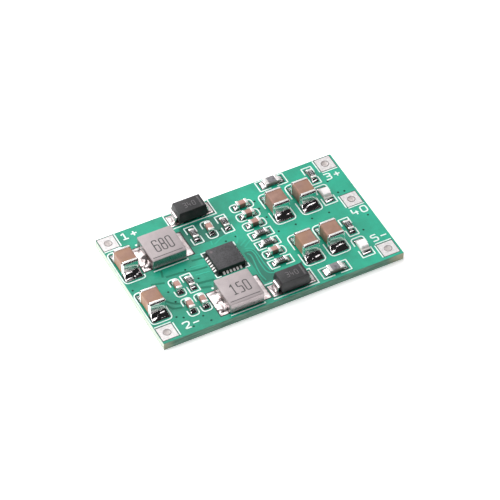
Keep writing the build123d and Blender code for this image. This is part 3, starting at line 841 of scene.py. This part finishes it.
for name, layer in copper.items():
    shells = []
    for turn, (width, line) in enumerate(layer["lines"]):
        path = rounded(line, layer["bend"]) if layer["bend"] else line
        shells.append(ribbon(path, width, boardTop, boardTop + layer["thick"] + 0.0002 * turn))
    tone = Paint(name).finish(baseColor=layer["tone"], roughness=layer["rough"])
    carry(facingOut(meshPiece(name, *gather(shells))), "laminate", paint=tone)

# Filled vias under the mask. profile: radius and height over the board, from the dimple to the skirt.
vias = {"profile": [(0.001, 0.006), (0.06, 0.006), (0.1, 0.014), (0.13, 0.013), (0.16, 0)], "places": [
    (-13.4, -2.5), (-13.3, -4.5), (-14.4, -7.0), (-13.6, -7.5), (-11.15, -8.4), (-13.1, -9.5),
    (-10.55, -9.6), (-8.7, -2.1), (-8.75, 0.15), (-9.6, 0.1), (-17.5, -0.1), (-2.35, 2.3), (-0.8, 2.5),
    (-2.2, 4.5), (4.45, 5.7), (4.6, 3.8), (4.5, 7.2), (4.85, 0.7), (7.5, 0.8), (10.0, 0.75), (12.6, 0.7),
    (15.2, 6.0), (15.5, 3.5), (16.4, 3.35), (15.2, -4.3), (17.1, -2.1)]}
viaPaint = Paint("tented via").finish(baseColor=tint(0, 66, 52), roughness=0.85)
viaProfile = [(radius, boardTop + rise) for radius, rise in vias["profile"]]
viaShells = [lathe(place, viaProfile, 16) for place in vias["places"]]
carry(facingOut(meshPiece("tentedVias", *gather(viaShells), smooth=True)), "laminate", paint=viaPaint)

# The moulded dot at the controller's first pin.
chipDot = {"radius": 0.22, "thick": 0.006, "aside": (-1.45, 1.4)}
spot, level = topOf("controller_body")
mouldPaint = Paint("moulded dot").finish(baseColor=tint(108, 98, 102), roughness=0.6)
mouldProfile = [(chipDot["radius"], level), (chipDot["radius"], level + chipDot["thick"])]
mouldShell = lathe(spot + chipDot["aside"], mouldProfile, 24)
carry(facingOut(meshPiece("controllerDot", *mouldShell)), "controller_epoxy", paint=mouldPaint)

# The ink dot beside each inductor's first end.
dots = {"radius": 0.17, "thick": 0.03, "aside": (-2.53, 2.74)}
dotProfile = [(dots["radius"], boardTop), (dots["radius"], boardTop + dots["thick"])]
dotShells = [lathe(seatOf(node)[0] + dots["aside"], dotProfile, 20) for node in inductors]
carry(facingOut(meshPiece("pinDots", *gather(dotShells))), "white_ink")

# Bare laminate, darker, between the controller's leads.
leadBed = {"out": 2.2, "width": 0.52, "thick": 0.008}
spot = seatOf("controller_body")[0]
bedCorners = [(x * leadBed["out"], y * leadBed["out"]) for x, y in ((-1, -1), (1, -1), (1, 1), (-1, 1))]
bed = ribbon(spot + np.array(bedCorners), leadBed["width"], boardTop, boardTop + leadBed["thick"], True)
bedPaint = Paint("bare laminate").finish(baseColor=tint(0, 40, 32), roughness=0.5)
carry(facingOut(meshPiece("leadBed", *bed)), "laminate", paint=bedPaint)

# The thin dark line that the mask's edge draws round each tinned land.
landEdges = {"pen": 0.13, "thick": 0.014, "deep": 0.02, "aside": 0.04, "terminalPen": 0.08,
             "terminalHalf": 1.21}


def landEdge(middle, along, near, far, half, width):
    # a rectangle from near to far of a part's middle and half its width to either side
    path = onBoard(middle, along, [(near, -half), (far, -half), (far, half), (near, half)])
    return ribbon(path, width, boardTop - landEdges["deep"], boardTop + landEdges["thick"], True)


half = landEdges["terminalHalf"]
edgeShells = [landEdge(seatOf(node)[0], alongX, -half, half, half, landEdges["terminalPen"])
              for node in terminals]
for group in joints.values():
    for kind in group["kinds"]:
        near, far = kind["face"] - kind["heel"] / 2, kind["face"] + kind["reach"] + landEdges["aside"]
        half = kind["width"] / 2 + landEdges["aside"]
        edgeShells += [landEdge(seatOf(node)[0], seatOf(node)[1] * way, near, far, half, landEdges["pen"])
                       for node in kind["nodes"] for way in (-1, 1)]
edgePaint = Paint("mask edge").finish(baseColor=tint(0, 40, 33), roughness=0.5)
carry(facingOut(meshPiece("landEdges", *gather(edgeShells))), "laminate", paint=edgePaint)

# Plating on the walls of the five holes, clear of the laminate by the gap, and the rim round each hole,
# painted dark grey as painted shade at the hole's edge.
sleeves = {"radius": 0.5, "wall": 0.04, "gap": 0.001, "rim": 0.07, "rimThick": 0.012}
sleeveShells, rimShells = [], []
for node in terminals:
    centre, size = boxOf(node)
    inner, outer = sleeves["radius"] - sleeves["wall"], sleeves["radius"] - sleeves["gap"]
    section = [(inner, 0), (outer, 0), (outer, boardTop), (inner, boardTop), (inner, 0)]
    sleeveShells.append(lathe(centre, section, 40))
    low, high, reach = boardTop, boardTop + sleeves["rimThick"], sleeves["radius"] + sleeves["rim"]
    section = [(inner, low), (reach, low), (reach, high), (inner, high), (inner, low)]
    rimShells.append(lathe(centre, section, 40))
wallPaint = paintMetal("bright plating", tint(244, 238, 237), tint(254, 251, 250), 0.5, 0.3, 0.004, 0.1)
# painted shade: the rim's dark grey stands for the shade at each hole's edge
rimShadePaint = paintMetal("hole rim", tint(112, 106, 106), tint(150, 143, 143), 0.4, 0.3, 0.004)
carry(facingOut(meshPiece("holePlating", *gather(sleeveShells))), "tinned_land", paint=wallPaint)
carry(facingOut(meshPiece("holeRims", *gather(rimShells))), "tinned_land", paint=rimShadePaint)
print("marks, copper, vias and sleeves made")

# the object's box before and after dressing
dressedLow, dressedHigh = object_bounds()
growth = [round((b - a) / mm, 3) for a, b in zip(cadHigh - cadLow, dressedHigh - dressedLow)]
print("dressed box less the CAD box:", growth)
